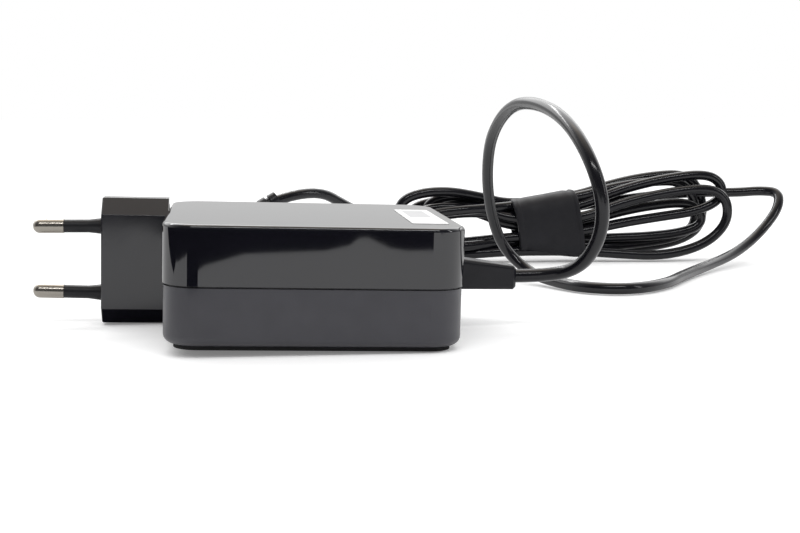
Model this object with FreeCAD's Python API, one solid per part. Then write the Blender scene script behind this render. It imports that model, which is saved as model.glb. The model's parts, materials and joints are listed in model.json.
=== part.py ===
import FreeCAD, Part
import math
import os

# Square laptop power adapter with a removable two-pin plug head and a hanked low-voltage cord.
#
# Millimetres. The adapter is drawn square to its own case: origin at the centre of the base,
# +X towards the cord, +Y towards the back, +Z up. The plug head is taller than the case, so on a
# table the adapter leans: it stands on the plug head's lower edge and on the case's right-hand
# bottom edge. set_down() turns the finished adapter into that pose and puts the origin under the
# middle of its box. The cord is drawn on the table, in the same final frame.

V = FreeCAD.Vector
X_AXIS = V(1, 0, 0)
Y_AXIS = V(0, 1, 0)
Z_AXIS = V(0, 0, 1)

# ---- Case ----
CASE_W = 75.0               # along X
CASE_D = 75.0               # along Y
CASE_H = 31.0
CORNER_R = 9.0              # upright corners
TOP_R = 1.0                 # rounding round the top face
BASE_R = 2.3                # rounding below the lower shell's sides
FOOT_H = 1.1                # step of the base that the case stands on
FOOT_INSET = 2.6
WALL = 2.2
SEAM_Z = 15.55              # top of the lower shell's wall
SEAM_GAP = 0.5              # dark line between the shells
LOWER_INSET = 0.35          # the lower shell is a little smaller all round
TONGUE_H = 1.8              # lip of the lower shell that stands inside the upper one
TONGUE_T = 0.9
TONGUE_BACK = 0.8           # the tongue stands this far in from the lower shell's face
REBATE_CLEARANCE = 0.15
RIB_T = 1.2
RIB_H = 2.4
FLOOR_RIB_LEN = 46.0
FLOOR_RIB_PITCH = 18.0
FLOOR_RIB_X = 4.0           # middle of the floor's ribs
SIDE_RIB_X = 12.0           # ribs inside the front and back walls, each side of the middle
BITE = 0.2                  # how deep a rib or post starts in the wall that carries it

# ---- Plug head (CEE 7/16 outline) ----
PLUG_Y = 20.5               # its middle, from the middle of the case
PLUG_LEN = 18.2
PLUG_H = 35.0
PLUG_T = 13.7
PLUG_BEVEL = 4.5
PLUG_EDGE_R = 0.5
PLUG_WALL = 1.8
PLUG_GAP = 0.3              # between the plug head and the case's side
PIN_PITCH = 18.6            # at the plug's face
PIN_PITCH_TIP = 18.0        # the pins lean towards each other
PIN_D = 4.0
PIN_END_ROUND = 0.95        # rounding of the pins' ends as a share of their radius
PIN_LEN = 19.0
PIN_ROOT = 5.0              # length held inside the plug head
PIN_WALL = 2.8              # wall that the pins come through
BUSH_R = 3.6
SLEEVE_LEN = 10.6
SLEEVE_D = 3.66
SLEEVE_ROOT_R = 2.2         # sleeve inside the plug head
PIN_CORE_R = 1.55           # pin under its sleeve
PIN_CLEARANCE = 0.03        # round the pin's core and the sleeve's root
COLLAR_LEN = 3.8
COLLAR_D = 4.44
COLLAR_SEAT = 1.0           # the collar starts this deep in the plug head's face
COLLAR_TAPER = 3.3          # length of its cone
SPIGOT_T = 9.6              # tongue of the plug head that enters the case
SPIGOT_H = 21.0
SPIGOT_LEN = 7.2
SPIGOT_EDGE_R = 1.0
SPIGOT_CLEARANCE = 0.25
PLATE_T = 3.0               # plate that closes the plug head
PLATE_CLEARANCE = 0.1
RAIL_W = 1.6                # guide rails along the spigot
RAIL_H = 0.7

# ---- Inlet in the case ----
INLET_WALL = 1.4
INLET_FLOOR = 2.4
INLET_GAP = 0.3             # between the inlet and the shells
BLADE_T = 1.0
BLADE_H = 4.0
BLADE_PITCH = 10.0
BLADE_TAIL = 3.5
BLADE_REACH = 5.6           # how far the blades stand out of the inlet's floor
CONTACT_T = 0.4
CLIP_SET_BACK = 0.6
CONTACT_CLEARANCE = 0.1

# ---- Printed circuit board and what stands on it ----
BOARD_T = 1.6
BOARD_GAP = 2.0             # board edge to the inside of the wall
BOARD_UNDER = 2.8           # board underside above the lower shell's floor
BOARD_CORNER_R = 6.0
NOTCH_GAP = 5.15            # the board stops short of the inlet
BOARD_NOTCH_Y = 10.0
POST_INSET = 4.0            # posts' middles, in from the board's edges
POST_R = 2.0
POST_PIN_R = 0.8
POST_PIN_CLEARANCE = 0.2
POST_PIN_PROUD = 0.6
STAND_OFF = 0.2             # parts sit this far above the board
SHEET_T = 0.4
SHEET_UNDER = 0.8           # insulation sheet below the board
SHEET_HOLE_CLEARANCE = 0.2  # round the posts
RIB_CLEARANCE = 0.4         # floor ribs below the insulation sheet
SPREADER_T = 0.6
SPREADER_INSET = 1.0        # in from the board's edges
SPREADER_SET_BACK = 4.0     # behind the board's notch
SKIRT_H = 12.0
SKIRT_SET_BACK = 3.5        # skirts are shorter than the spreader at both ends
SPREADER_UNDER = 0.3        # spreader below the upper shell's ceiling
PAD_CLEARANCE = 0.05
PAD_INSET = 0.5             # in from the core's edges

# ---- Larger parts on the board: sites are (x, y), sizes (w, d, h) ----
BRIDGE_SITE = (-18.0, -4.0)
BRIDGE_SIZE = (3.6, 15.0, 11.0)
BRIDGE_CHAMFER = 2.5
BRIDGE_STAND = 2.0          # its legs hold it this far above the board
BRIDGE_LEG = (0.9, 1.2)
BRIDGE_LEG_PITCH = 4.0
FUSE_SITE = (-15.0, 14.5)
FUSE_SIZE = (8.4, 4.2, 8.0)
X_CAPACITOR_SITE = (-13.5, 25.0)
X_CAPACITOR_SIZE = (13.0, 7.0, 12.5)
CASED_CORNER_R = 0.8        # upright corners of the fuse and the X capacitor
CASED_TOP_R = 0.5
Y_CAPACITOR_SITE = (-1.0, 21.5)
Y_CAPACITOR_R = 4.0
Y_CAPACITOR_T = 3.0
Y_CAPACITOR_EDGE = 0.9
OPTOCOUPLER_SITE = (12.5, -4.0)
OPTOCOUPLER_SIZE = (4.6, 6.5, 3.4)
CHIP_SITE = (22.0, -4.0)
CHIP_SIZE = (4.0, 5.0, 1.5)
DRAFT = 0.3                 # chamfer round the tops of the small packages
OUTPUT_CHOKE_SITE = (12.0, -25.0)
OUTPUT_CHOKE_R = 4.4
OUTPUT_CHOKE_WIRE_R = 3.6
OUTPUT_CHOKE_CHEEK = 1.2
OUTPUT_CHOKE_H = 10.2
CAN_SITES = [(27.0, 20.5), (14.5, 26.0), (25.5, -19.0)]
CAN_GROOVE_AT = 0.12        # groove near the sealed end, as a share of the can's length
CAN_GROOVE = 0.5
CAN_RIM = 0.6
BULK_X = -26.5
BULK_Y = -22.0
CHOKE_SITE = (-25.5, -5.6)
CHOKE_R = 7.4
CHOKE_CORE_R = 6.5
CHOKE_HOLE_R = 3.6
CHOKE_CORE_T = 5.2
CHOKE_WIRE = 0.9            # thickness of each winding over the core
COIL_CLEARANCE = 0.05
CORE_W = 22.0
CORE_D = 20.0
PAD_T = 2.2                 # soft pad between the core and the heat spreader
CORE_X = -2.5
CORE_Y = 2.0
CORE_STAND = 0.3            # the bobbin's feet hold the core clear of the board
LEG = 7.0                   # width of the core's centre leg
BOBBIN_T = 0.9
BOBBIN_WALL = 0.8           # tube of the bobbin
BOBBIN_CLEARANCE = 0.2
WINDING_CLEARANCE = 0.1
WINDING_SET_BACK = 0.7      # in from the core's window and the bobbin's cheeks
WINDING_R = 2.0
SINK_FRONT_Y = -12.2
SINK_BACK_Y = 12.6
SINK_W = 14.0
SINK_GAP = 3.6              # between the heat sinks and the heat spreader
SINK_T = 1.5
SINK_FRONT_X = 16.5
SINK_BACK_X = 18.0
FIN_T = 1.2
FIN_H = 1.4
PACKAGE_W = 10.0
PACKAGE_TAB_T = 1.3
PACKAGE_BODY_T = 2.9
PACKAGE_BODY = 0.6          # height of the plastic body as a share of the tab's
PACKAGE_STAND = 3.0
TAB_HOLE_R = 1.7
TAB_HOLE_AT = 0.82          # height of the tab's hole as a share of the tab's
CAN_R = 4.0
CAN_BELOW_SINK = 1.5
BULK_GAP = 2.35             # half of the room left over the bulk capacitor
BULK_LEN = 28.0
LEAD_R = 0.9
DC_LEAD_REACH = 6.0
AC_LEAD_R = 0.6
AC_LEAD_REACH = 2.6

# ---- Strain relief and cord ----
RELIEF_Y = 0.0
RELIEF_Z = 15.8
RELIEF_ROOT = 8.8           # side of the square boot where it leaves the case
RELIEF_TIP = 6.4
RELIEF_LEN = 19.0
RELIEF_DROOP = 1.2          # the cord's weight bends the boot's tip down
RELIEF_EDGE_R = 1.3
RELIEF_TIP_EDGE_R = 1.0
RELIEF_STAND = 0.4          # straight stretch outside the wall before the taper
RELIEF_FLANGE = 12.0
RELIEF_FLANGE_T = 2.0
RELIEF_FLANGE_R = 1.0
RELIEF_TIP_CHAMFER = 0.7
RELIEF_GROOVE_CLEARANCE = 0.1
CORD_D = 3.7
CORD_BITE = 3.0             # length of cord moulded into each boot

# ---- Hank and its tie ----
HANK_Y = 148.0
HANK_BEVEL = 0.28           # corner cut as a share of the hank's smaller side
STRAP_T = 1.6
STRAP_CLEARANCE = 0.1

# ---- Direct-current connector ----
BOOT_LEN = 16.0
BOOT_TIP_R = 2.6
BOOT_ROOT_R = 3.9
BOOT_RINGS = 4
RING_GAP = 1.3
RING_DEPTH = 0.7
RING_STEP = 0.2             # each ring is this much thicker than the one before its gap
GRIP_SHOULDER = 2.2         # from the boot's end to the grip's full thickness
GRIP_SHOULDER_DROP = 0.6
GRIP_WAIST = (7.0, 10.0, 14.0, 17.0)
GRIP_NOSE = 1.6             # length of the bevel round the grip's nose
GRIP_LEN = 21.0
GRIP_R = 5.0
GRIP_WAIST_R = 4.6
GRIP_NOSE_R = 3.6
BARREL_R = 2.0
BARREL_LEN = 10.0
BARREL_ROOT = 4.0           # length of barrel held in the grip
BARREL_WALL = 0.4
BARREL_CHAMFER = 0.15
BARREL_ROOT_R = 1.8         # barrel inside the grip
CONNECTOR_CLEARANCE = 0.03
CONTACT_R = 1.0
CONTACT_HOLE_R = 0.68
INSULATOR_SET_BACK = 0.4
NOSE_REST = 0.3             # the barrel's lowest point above the table

# ---- Label ----
LABEL_X = 29.4
LABEL_Y = -4.4
LABEL_W = 9.3
LABEL_L = 42.0
LABEL_T = 0.15
LABEL_R = 0.6

# ---- Routes on the table, in the final frame ----
LOOP_ROUTE = [V(*point) for point in [
    (85.2, -2.5, 14.3), (92.0, -10.0, 18.0), (94.6, -17.5, 26.5), (94.3, -20.8, 36.0), (91.7, -18.0, 46.5),
    (88.9, -5.0, 56.0), (86.2, 17.0, 61.0), (82.6, 42.0, 61.0), (80.4, 64.0, 51.5), (81.4, 77.5, 38.0),
    (84.8, 88.0, 24.0), (90.0, 93.0, 11.5), (98.5, 87.5, 3.2), (104.5, 73.5, 2.0), (110.5, 60.5, 2.0),
    (123.5, 54.5, 2.0), (138.5, 65.0, 2.0), (151.5, 86.0, 2.0), (166.5, 107.0, 2.2), (181.5, 122.5, 4.0),
    (192.0, 131.0, 8.0), (200.0, 136.0, 13.6), (206.3, 139.5, 20.4), (208.4, 145.0, 25.8),
    (202.5, 149.5, 26.2), (193.5, 151.0, 25.4)]]
TAIL_ROUTE = [V(*point) for point in [
    (68.0, 148.0, 16.0), (55.0, 144.5, 15.0), (41.5, 137.5, 22.0), (27.5, 127.5, 30.5)]]
CONNECTOR_START = V(14.5, 122.0, 27.0)
CONNECTOR_HEADING = (-0.97, -0.18)
# Hank outline: x, lowest z, highest z, depth along Y
HANK_STATIONS = [
    (56.7, 12.0, 23.0, 5.0), (62.7, 5.0, 27.0, 12.0), (78.7, 1.0, 28.0, 18.0), (105.7, 2.0, 23.5, 14.0),
    (127.7, 2.0, 27.0, 14.0), (158.7, 0.3, 36.0, 22.0), (178.7, 3.0, 35.5, 18.0), (190.7, 11.0, 31.0, 11.0),
    (195.7, 17.0, 27.0, 5.0)]
WAIST = 3                   # the first of the two stations that the tie spans

# Places that follow from the sizes above
HALF_W = CASE_W / 2
HALF_D = CASE_D / 2
UPPER_Z0 = SEAM_Z + SEAM_GAP
CEILING_Z = CASE_H - WALL
MID_Z = CASE_H / 2
PLUG_END_X = -HALF_W - PLUG_GAP
PLUG_FACE_X = PLUG_END_X - PLUG_LEN
SPIGOT_END_X = -HALF_W + SPIGOT_LEN
INNER_X = HALF_W - LOWER_INSET - WALL
BOARD_Z0 = WALL + BOARD_UNDER
BOARD_Z1 = BOARD_Z0 + BOARD_T
BOARD_HALF_X = INNER_X - BOARD_GAP
BOARD_HALF_Y = HALF_D - LOWER_INSET - WALL - BOARD_GAP
FLOOR_Z = BOARD_Z1 + STAND_OFF
SPREADER_Z0 = CEILING_Z - SPREADER_UNDER - SPREADER_T
CORE_Z0 = FLOOR_Z + CORE_STAND
INLET_X0 = -INNER_X + INLET_GAP
INLET_X1 = -HALF_W + SPIGOT_LEN + SPIGOT_CLEARANCE + INLET_FLOOR
BOARD_NOTCH_X = INLET_X1 + NOTCH_GAP
POST_X = BOARD_HALF_X - POST_INSET
POST_Y = BOARD_HALF_Y - POST_INSET
POSTS = [(-POST_X, -POST_Y), (POST_X, -POST_Y), (POST_X, POST_Y), (-POST_X, BOARD_NOTCH_Y - POST_INSET)]
CORE_H = SPREADER_Z0 - PAD_T - CORE_Z0
SINK_H = SPREADER_Z0 - SINK_GAP - FLOOR_Z
CAN_H = SINK_H - CAN_BELOW_SINK
BULK_R = (SPREADER_Z0 - FLOOR_Z) / 2 - BULK_GAP


def block(x0, x1, y0, y1, z0, z1):
    return Part.makeBox(x1 - x0, y1 - y0, z1 - z0, V(x0, y0, z0))


def centred(cx, cy, z0, w, d, h):
    return block(cx - w / 2, cx + w / 2, cy - d / 2, cy + d / 2, z0, z0 + h)


def edges_where(shape, test):
    return [edge for edge in shape.Edges if test(edge.BoundBox)]


def rounded_block(w, d, z0, z1, radius, cx=0.0, cy=0.0):
    """A block with rounded upright edges."""
    body = centred(cx, cy, z0, w, d, z1 - z0)
    upright = edges_where(body, lambda box: box.ZLength > 0.9 * (z1 - z0))
    return body.makeFillet(radius, upright)


def round_level_edges(shape, z, radius):
    """Rounds the outline that lies at height z."""
    level = edges_where(shape, lambda box: abs(box.ZMin - z) < 1e-4 and abs(box.ZMax - z) < 1e-4)
    return shape.makeFillet(radius, level)


def cylinder(r, length, base, axis):
    return Part.makeCylinder(r, length, base, axis)


def join(shapes):
    first, rest = shapes[0], shapes[1:]
    return first.fuse(rest).removeSplitter() if rest else first


def prism_x(points, x0, x1):
    """Extrudes a closed outline of (y, z) points along X."""
    corners = [V(x0, y, z) for y, z in points]
    return Part.Face(Part.makePolygon(corners + corners[:1])).extrude(V(x1 - x0, 0, 0))


def revolve_x(points, turn=360):
    """Revolves a closed outline of (x, r) points about the X axis."""
    corners = [V(x, 0, r) for x, r in points]
    face = Part.Face(Part.makePolygon(corners + corners[:1]))
    return face.revolve(V(0, 0, 0), X_AXIS, turn)


# ---- Case ----

def bay(clearance, x0, x1):
    """The space of the plug head's spigot, grown by a clearance."""
    half_t = SPIGOT_T / 2 + clearance
    half_h = SPIGOT_H / 2 + clearance
    return block(x0, x1, PLUG_Y - half_t, PLUG_Y + half_t, MID_Z - half_h, MID_Z + half_h)


def relief_hole(clearance, x0, x1):
    half = RELIEF_ROOT / 2 + clearance
    return block(x0, x1, RELIEF_Y - half, RELIEF_Y + half, RELIEF_Z - half, RELIEF_Z + half)


def wall_openings():
    """Holes that both shells share: for the plug head's spigot and for the strain relief."""
    left = bay(SPIGOT_CLEARANCE, -HALF_W - 1, INLET_X1)
    guides = rails(SPIGOT_CLEARANCE)
    right = relief_hole(RELIEF_GROOVE_CLEARANCE, INNER_X - 1, HALF_W + 1)
    return [left, guides, right]


def rails(clearance):
    """Two guide rails, on the front and back of the spigot, with a clearance round them."""
    half_t = SPIGOT_T / 2 + RAIL_H + clearance
    half_w = RAIL_W / 2 + clearance
    x1 = -HALF_W + SPIGOT_LEN + clearance
    return block(-HALF_W - clearance, x1, PLUG_Y - half_t, PLUG_Y + half_t,
                 MID_Z - half_w, MID_Z + half_w)


def lower_shell():
    w = CASE_W - 2 * LOWER_INSET
    d = CASE_D - 2 * LOWER_INSET
    r = CORNER_R - LOWER_INSET
    outer = round_level_edges(rounded_block(w, d, FOOT_H, SEAM_Z, r), FOOT_H, BASE_R)
    foot = rounded_block(w - 2 * FOOT_INSET, d - 2 * FOOT_INSET, 0, FOOT_H + BITE, r - FOOT_INSET)
    outer = outer.fuse(foot)
    cavity = rounded_block(w - 2 * WALL, d - 2 * WALL, WALL, SEAM_Z + 1, r - WALL)
    tray = outer.cut(cavity)
    back = TONGUE_BACK
    tongue = rounded_block(w - 2 * back, d - 2 * back, SEAM_Z, SEAM_Z + TONGUE_H, r - back)
    back += TONGUE_T
    inside = rounded_block(w - 2 * back, d - 2 * back, SEAM_Z - 1, SEAM_Z + TONGUE_H + 1, r - back)
    tongue = tongue.cut(inside)
    ribs = []
    rib_h = BOARD_UNDER - SHEET_UNDER - SHEET_T - RIB_CLEARANCE
    for i in (-1, 0, 1):
        rib_y = i * FLOOR_RIB_PITCH
        ribs.append(centred(FLOOR_RIB_X, rib_y, WALL - BITE, FLOOR_RIB_LEN, RIB_T, BITE + rib_h))
    posts = []
    for x, y in POSTS:
        posts.append(cylinder(POST_R, BOARD_UNDER + BITE, V(x, y, WALL - BITE), Z_AXIS))
        pin_h = BOARD_UNDER + BOARD_T + POST_PIN_PROUD
        posts.append(cylinder(POST_PIN_R, pin_h, V(x, y, WALL), Z_AXIS))
    return join([tray, tongue] + ribs + posts).cut(wall_openings())


def upper_shell():
    outer = rounded_block(CASE_W, CASE_D, UPPER_Z0, CASE_H, CORNER_R)
    outer = round_level_edges(outer, CASE_H, TOP_R)
    cavity = rounded_block(CASE_W - 2 * WALL, CASE_D - 2 * WALL, UPPER_Z0 - 1, CEILING_Z, CORNER_R - WALL)
    step = LOWER_INSET + TONGUE_BACK - REBATE_CLEARANCE
    rebate_top = SEAM_Z + TONGUE_H + REBATE_CLEARANCE
    rebate = rounded_block(CASE_W - 2 * step, CASE_D - 2 * step, UPPER_Z0 - 1, rebate_top, CORNER_R - step)
    shell = outer.cut([cavity, rebate])
    ribs = []
    for side in (-1, 1):
        for x in (-SIDE_RIB_X, SIDE_RIB_X):
            y = side * (HALF_D - WALL - RIB_H / 2 + BITE)
            ribs.append(centred(x, y, rebate_top, RIB_T, RIB_H, CEILING_Z - rebate_top + BITE))
    return join([shell] + ribs).cut(wall_openings())


def top_label():
    return rounded_block(LABEL_W, LABEL_L, CASE_H, CASE_H + LABEL_T, LABEL_R, LABEL_X, LABEL_Y)


# ---- Plug head ----

def plug_outline(inset):
    """Six-sided outline of the plug head as (y, z), moved in by an inset."""
    t = PLUG_T / 2 - inset
    h = PLUG_H / 2 - inset
    cut = PLUG_BEVEL - inset * (2 - math.sqrt(2))
    half = [(-t, h - cut), (-t + cut, h), (t - cut, h), (t, h - cut)]
    outline = half + [(y, -z) for y, z in reversed(half)]
    return [(PLUG_Y + y, MID_Z + z) for y, z in outline]


def pin_sites():
    """Root point and direction of each pin, which lean towards each other."""
    toe_in = math.atan((PIN_PITCH - PIN_PITCH_TIP) / 2 / PIN_LEN)
    for side in (-1, 1):
        root = V(PLUG_FACE_X, PLUG_Y, MID_Z + side * PIN_PITCH / 2)
        yield root, V(-math.cos(toe_in), 0, -side * math.sin(toe_in))


def at_pin(shape, root, direction):
    """Carries a shape drawn along +X from the origin to a pin's place."""
    moved = shape.copy()
    moved.Placement = FreeCAD.Placement(root, FreeCAD.Rotation(X_AXIS, direction))
    return moved


def plug_housing():
    outer = prism_x(plug_outline(0), PLUG_FACE_X, PLUG_END_X)
    outer = outer.makeFillet(PLUG_EDGE_R, edges_where(outer, lambda box: box.XMin < PLUG_END_X - 1e-3))
    hollow = prism_x(plug_outline(PLUG_WALL), PLUG_FACE_X + PIN_WALL, PLUG_END_X)
    body = outer.cut(hollow)
    inside = prism_x(plug_outline(PLUG_EDGE_R), PLUG_FACE_X + PLUG_WALL, PLUG_END_X)
    for root, direction in pin_sites():
        bush = at_pin(cylinder(BUSH_R, PIN_ROOT, V(0, 0, 0), -X_AXIS), root, direction)
        body = body.fuse(bush.common(inside))
    holes = []
    for root, direction in pin_sites():
        bore = cylinder(SLEEVE_ROOT_R + PIN_CLEARANCE, 2 * PIN_ROOT, V(-PIN_ROOT - 1, 0, 0), X_AXIS)
        seat = cylinder(COLLAR_D / 2 + PIN_CLEARANCE, COLLAR_LEN,
                        V(-COLLAR_SEAT - PIN_CLEARANCE, 0, 0), X_AXIS)
        holes += [at_pin(bore, root, direction), at_pin(seat, root, direction)]
    return body.cut(holes)


def plug_plate():
    """Plate that closes the plug head, with the spigot that enters the case."""
    plate = prism_x(plug_outline(PLUG_WALL + PLATE_CLEARANCE), PLUG_END_X - PLATE_T, PLUG_END_X)
    spigot = bay(0, PLUG_END_X - 1, SPIGOT_END_X)
    along = edges_where(spigot, lambda box: box.XLength > SPIGOT_LEN)
    spigot = spigot.makeFillet(SPIGOT_EDGE_R, along)
    guide = rails(0).common(block(PLUG_END_X, SPIGOT_END_X, -HALF_D, HALF_D, 0, CASE_H))
    body = join([plate, spigot, guide])
    slots = []
    for z in blade_heights():
        slots.append(block(PLUG_END_X - PLATE_T - 1, SPIGOT_END_X + 1, PLUG_Y - slot_half_t(),
                           PLUG_Y + slot_half_t(), z - slot_half_h(), z + slot_half_h()))
    return body.cut(slots)


def blade_heights():
    return [MID_Z - BLADE_PITCH / 2, MID_Z + BLADE_PITCH / 2]


def slot_half_t():
    return BLADE_T / 2 + 2 * CONTACT_CLEARANCE + CONTACT_T


def slot_half_h():
    return BLADE_H / 2 + CONTACT_CLEARANCE


def plug_contacts():
    """Folded spring clips that take the inlet's blades, one in each slot."""
    clips = []
    x0 = PLUG_END_X - PLATE_T
    x1 = SPIGOT_END_X - CLIP_SET_BACK
    for z in blade_heights():
        outer = block(x0, x1, PLUG_Y - slot_half_t() + CONTACT_CLEARANCE / 2,
                      PLUG_Y + slot_half_t() - CONTACT_CLEARANCE / 2,
                      z - BLADE_H / 2, z + BLADE_H / 2)
        inner_half = BLADE_T / 2 + CONTACT_CLEARANCE
        gap = block(x0 + CONTACT_T, x1 + 1, PLUG_Y - inner_half, PLUG_Y + inner_half,
                    z - BLADE_H, z + BLADE_H)
        clips.append(outer.cut(gap))
    return Part.makeCompound(clips)


def plug_leads():
    """Strips that join each pin's root to its clip."""
    strips = []
    for (root, direction), z in zip(pin_sites(), blade_heights()):
        end = root - direction * PIN_ROOT
        x0, x1 = end.x, PLUG_END_X - PLATE_T
        x_mid = (x0 + x1) / 2
        strip_w = BLADE_H - 1
        outline = [(x0, end.z), (x_mid, end.z), (x_mid, z), (x1, z)]
        strips.append(flat_strip(outline, strip_w))
    return Part.makeCompound(strips)


def flat_strip(outline, width):
    """A bent metal strip in the XZ plane, of CONTACT_T thickness."""
    half = CONTACT_T / 2
    pieces = []
    for (xa, za), (xb, zb) in zip(outline, outline[1:]):
        upright = half if xa == xb else 0
        pieces.append(block(min(xa, xb) - upright, max(xa, xb) + upright,
                            PLUG_Y - width / 2, PLUG_Y + width / 2, min(za, zb) - half, max(za, zb) + half))
    return join(pieces)


def plug_pins():
    pins = []
    for root, direction in pin_sites():
        neck = SLEEVE_LEN
        tip_r = PIN_D / 2
        core_r = PIN_CORE_R
        profile = revolve_x([(-PIN_ROOT, 0), (-PIN_ROOT, core_r), (neck, core_r), (neck, tip_r),
                             (PIN_LEN, tip_r), (PIN_LEN, 0)])
        rim = edges_where(profile, lambda box: box.XMin > PIN_LEN - 1e-3)
        pins.append(at_pin(profile.makeFillet(tip_r * PIN_END_ROUND, rim), root, direction))
    return Part.makeCompound(pins)


def pin_sleeves():
    sleeves = []
    core_r = PIN_CORE_R + PIN_CLEARANCE
    for root, direction in pin_sites():
        r = SLEEVE_D / 2
        x0 = -PIN_ROOT + 1
        outline = [(x0, core_r), (x0, SLEEVE_ROOT_R), (-COLLAR_SEAT, SLEEVE_ROOT_R),
                   (-COLLAR_SEAT, COLLAR_D / 2), (COLLAR_LEN - COLLAR_TAPER, COLLAR_D / 2),
                   (COLLAR_LEN, r), (SLEEVE_LEN, r), (SLEEVE_LEN, core_r)]
        sleeves.append(at_pin(revolve_x(outline), root, direction))
    return Part.makeCompound(sleeves)


# ---- Inlet ----

def inlet_block():
    """Insulating cup behind the bay, with the blades' holes in its floor."""
    grow = SPIGOT_CLEARANCE + INLET_WALL
    half_t = SPIGOT_T / 2 + grow + RAIL_H
    z0 = max(WALL + INLET_GAP, MID_Z - SPIGOT_H / 2 - grow)
    z1 = min(CEILING_Z - INLET_GAP, MID_Z + SPIGOT_H / 2 + grow)
    cup = block(INLET_X0, INLET_X1, PLUG_Y - half_t, PLUG_Y + half_t, z0, z1)
    pocket = bay(SPIGOT_CLEARANCE, INLET_X0 - 1, INLET_X1 - INLET_FLOOR)
    body = cup.cut([pocket, rails(SPIGOT_CLEARANCE)])
    return body.cut(blades(0.0))


def blades(clearance):
    """Both blades, through the inlet's floor."""
    x0 = INLET_X1 - INLET_FLOOR - BLADE_REACH
    x1 = INLET_X1 + BLADE_TAIL
    made = []
    for z in blade_heights():
        made.append(block(x0, x1, PLUG_Y - BLADE_T / 2 - clearance, PLUG_Y + BLADE_T / 2 + clearance,
                          z - BLADE_H / 2 - clearance, z + BLADE_H / 2 + clearance))
    return made


def inlet_blades():
    return Part.makeCompound(blades(0.0))


# ---- Inside the case ----

def main_board():
    board = rounded_block(2 * BOARD_HALF_X, 2 * BOARD_HALF_Y, BOARD_Z0, BOARD_Z1, BOARD_CORNER_R)
    cuts = [block(-HALF_W, BOARD_NOTCH_X, BOARD_NOTCH_Y, HALF_D, BOARD_Z0 - 1, BOARD_Z1 + 1)]
    for x, y in POSTS:
        cuts.append(cylinder(POST_PIN_R + POST_PIN_CLEARANCE, BOARD_T + 2, V(x, y, BOARD_Z0 - 1), Z_AXIS))
    return board.cut(cuts)


def insulation_sheet():
    """Sheet under the board, clear of the posts."""
    z0 = BOARD_Z0 - SHEET_UNDER - SHEET_T
    sheet = rounded_block(2 * BOARD_HALF_X, 2 * BOARD_HALF_Y, z0, z0 + SHEET_T, BOARD_CORNER_R)
    cuts = [block(-HALF_W, BOARD_NOTCH_X, BOARD_NOTCH_Y, HALF_D, z0 - 1, z0 + 2)]
    for x, y in POSTS:
        cuts.append(cylinder(POST_R + SHEET_HOLE_CLEARANCE, 3, V(x, y, z0 - 1), Z_AXIS))
    return sheet.cut(cuts)


def can(r, length, base, axis):
    """Electrolytic capacitor: a can with a rolled groove near its sealed end."""
    x = length * CAN_GROOVE_AT
    groove = [(x, r), (x + CAN_GROOVE, r - CAN_GROOVE), (x + 2 * CAN_GROOVE, r)]
    rim = [(length - CAN_RIM, r), (length, r - CAN_RIM), (length, 0)]
    body = revolve_x([(0, 0), (0, r)] + groove + rim)
    body.Placement = FreeCAD.Placement(base, FreeCAD.Rotation(X_AXIS, axis))
    return body


def bulk_capacitor():
    return can(BULK_R, BULK_LEN, V(BULK_X, BULK_Y, FLOOR_Z + BULK_R), X_AXIS)


def output_capacitors():
    return Part.makeCompound([can(CAN_R, CAN_H, V(x, y, FLOOR_Z), Z_AXIS) for x, y in CAN_SITES])


def ring(inner, outer, x0, x1):
    return cylinder(outer, x1 - x0, V(x0, 0, 0), X_AXIS).cut(cylinder(inner, x1 - x0, V(x0, 0, 0), X_AXIS))


def choke_place(shape):
    centre = V(*CHOKE_SITE, FLOOR_Z + CHOKE_R + STAND_OFF / 2)
    shape.Placement = FreeCAD.Placement(centre, FreeCAD.Rotation())
    return shape


def choke_ring(clearance):
    half = CHOKE_CORE_T / 2 + clearance
    return ring(CHOKE_HOLE_R - clearance, CHOKE_CORE_R + clearance, -half, half)


def choke_core():
    return choke_place(choke_ring(0))


def choke_windings():
    """Two windings, one on each side of the ring."""
    made = []
    half = CHOKE_CORE_T / 2 + CHOKE_WIRE
    inner_r = CHOKE_HOLE_R - CHOKE_WIRE
    for start in (30, 210):
        sector = revolve_x([(-half, inner_r), (-half, CHOKE_R), (half, CHOKE_R), (half, inner_r)], 120)
        sector.rotate(V(0, 0, 0), X_AXIS, start)
        made.append(choke_place(sector.cut(choke_ring(COIL_CLEARANCE))))
    return Part.makeCompound(made)


def bridge_rectifier():
    x, y = BRIDGE_SITE
    w, d, h = BRIDGE_SIZE
    body = centred(x, y, FLOOR_Z + BRIDGE_STAND, w, d, h)
    top = FLOOR_Z + BRIDGE_STAND + h
    corner = edges_where(body, lambda box: box.XLength > 0.9 * w and box.YMin > y and box.ZMin > top - 1e-3)
    leg_h = BRIDGE_STAND + FLOOR_Z - BOARD_Z0
    legs = []
    for i in range(4):
        leg_y = y + (i - 1.5) * BRIDGE_LEG_PITCH
        legs.append(centred(x, leg_y, BOARD_Z0, *BRIDGE_LEG, leg_h))
    return join([body.makeChamfer(BRIDGE_CHAMFER, corner)] + legs).cut(main_board())


def cased_part(site, size):
    """Moulded case with rounded upright corners and a rounded top."""
    w, d, h = size
    body = rounded_block(w, d, FLOOR_Z, FLOOR_Z + h, CASED_CORNER_R, *site)
    return round_level_edges(body, FLOOR_Z + h, CASED_TOP_R)


def fuse():
    return cased_part(FUSE_SITE, FUSE_SIZE)


def x_capacitor():
    return cased_part(X_CAPACITOR_SITE, X_CAPACITOR_SIZE)


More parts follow.
